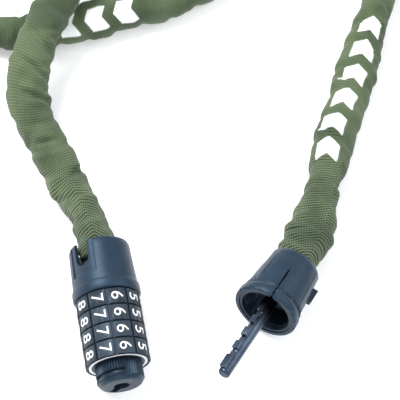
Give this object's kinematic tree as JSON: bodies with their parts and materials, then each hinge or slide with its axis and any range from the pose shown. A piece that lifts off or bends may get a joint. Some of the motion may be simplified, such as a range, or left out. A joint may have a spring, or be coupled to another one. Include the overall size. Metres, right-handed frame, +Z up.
{
  "type": "chain lock",
  "caption": "Combination chain lock, open: dial half and pin half joined by a chain in a woven sleeve.",
  "frame": {"origin": "centre of the keyhole's rim on the end face of the reset knob", "axes": "-Y out of the keyhole along the dial half's axis, +Z up from the surface that the lock lies on, X to the side of the cup half"},
  "size_m": [0.2936, 0.3237, 0.0367],
  "materials": {
    "cap_plastic": "fine satin moulded",
    "dial_plastic": "matte",
    "knob_plastic": "satin",
    "black_plastic": "matte",
    "white_plastic": "satin",
    "code_brass": "machined",
    "core_metal": "cast, lightly worn",
    "pin_steel": "ground",
    "spring_steel": "drawn wire",
    "lock_steel": "dark blued, worn on the teeth",
    "bright_steel": "polished",
    "chain_steel": "zinc plated",
    "sleeve_fabric": "ribbed olive weave"
  },
  "bodies": {
    "chain": {"chain_links": "chain_steel", "sleeve": "sleeve_fabric"},
    "dial_half": {"dial_cap": "cap_plastic", "core_tube": "core_metal", "dial_anchor": "core_metal", "dial_anchor_pin": "pin_steel", "white_washer": "white_plastic", "end_plate": "black_plastic", "reset_spring": "spring_steel", "retaining_clip": "spring_steel"},
    "knob": {"reset_knob": "knob_plastic"},
    "cup_half": {"cup_shell_left": "cap_plastic", "cup_shell_right": "cap_plastic", "mouth_ring": "black_plastic", "locking_pin": "lock_steel", "pin_washer": "bright_steel", "cup_anchor": "core_metal", "cup_anchor_pin": "pin_steel"},
    "dial_1": {"number_ring_1": "dial_plastic", "code_ring_1": "code_brass"},
    "dial_2": {"number_ring_2": "dial_plastic", "code_ring_2": "code_brass"},
    "dial_3": {"number_ring_3": "dial_plastic", "code_ring_3": "code_brass"},
    "dial_4": {"number_ring_4": "dial_plastic", "code_ring_4": "code_brass"}
  },
  "joints": [
    {"name": "dial_half_fold", "type": "hinge", "parent": "chain", "child": "dial_half", "pos_m": [0, 0.061, 0], "axis": [0.6947, 0, 0.7193], "range_deg": [-9, 9]},
    {"name": "cup_half_fold", "type": "hinge", "parent": "chain", "child": "cup_half", "pos_m": [0.08945, 0.04517, -0.00144], "axis": [0.139, 0.0501, 0.989], "range_deg": [-8, 8]},
    {"name": "dial_1_turn", "type": "hinge", "parent": "dial_half", "child": "dial_1", "pos_m": [0, 0.03875, 0], "axis": [0, 1, 0], "continuous": true},
    {"name": "dial_2_turn", "type": "hinge", "parent": "dial_half", "child": "dial_2", "pos_m": [0, 0.0305, 0], "axis": [0, 1, 0], "continuous": true},
    {"name": "dial_3_turn", "type": "hinge", "parent": "dial_half", "child": "dial_3", "pos_m": [0, 0.02225, 0], "axis": [0, 1, 0], "continuous": true},
    {"name": "dial_4_turn", "type": "hinge", "parent": "dial_half", "child": "dial_4", "pos_m": [0, 0.014, 0], "axis": [0, 1, 0], "continuous": true},
    {"name": "reset_knob_turn", "type": "hinge", "parent": "dial_half", "child": "knob", "pos_m": [0, 0.002, 0], "axis": [0, 1, 0], "range_deg": [0, 90]}
  ]
}
